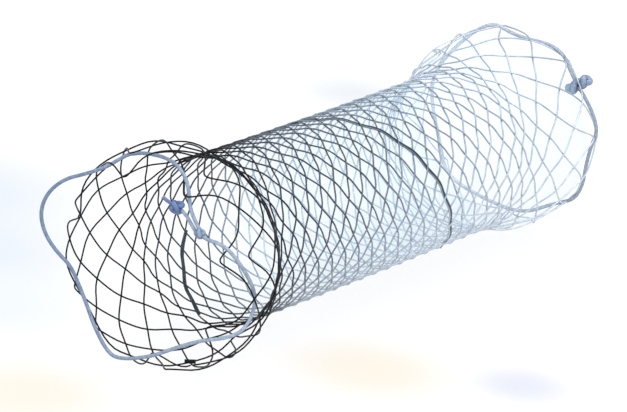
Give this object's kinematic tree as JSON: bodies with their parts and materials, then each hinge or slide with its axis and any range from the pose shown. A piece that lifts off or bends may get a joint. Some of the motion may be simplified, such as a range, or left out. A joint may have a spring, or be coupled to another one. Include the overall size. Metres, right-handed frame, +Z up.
{
  "type": "duodenal stent",
  "caption": "Braided wire tube with a wide flare at each end, a thin clear inner membrane, and a knotted blue retrieval thread through each end.",
  "frame": {"origin": "Middle of the braid's length and width, on the floor that both flares lie on.", "axes": "+X from the near mouth, which has the bare flare, to the far rim, +Z up. The tube's axis runs along X and down by 1.56 degrees."},
  "size_m": [0.0843, 0.0277, 0.0274],
  "materials": {
    "wire": "fine dark oxide, satin",
    "sleeve": "satin",
    "membrane": "clear, smooth, very slightly blue",
    "thread": "translucent blue",
    "knot": "translucent blue, darker where it doubles"
  },
  "bodies": {
    "root": {"braid_wire": "wire", "crimp_sleeve": "sleeve", "membrane": "membrane", "lap_wire_near": "wire", "lap_wire_middle": "wire", "near_lasso": "thread", "near_link": "thread", "near_tail": "thread", "far_lasso": "thread", "near_knot_upper": "knot", "near_knot_lower": "knot", "far_knot_inner": "knot", "far_knot_outer": "knot"}
  },
  "joints": []
}
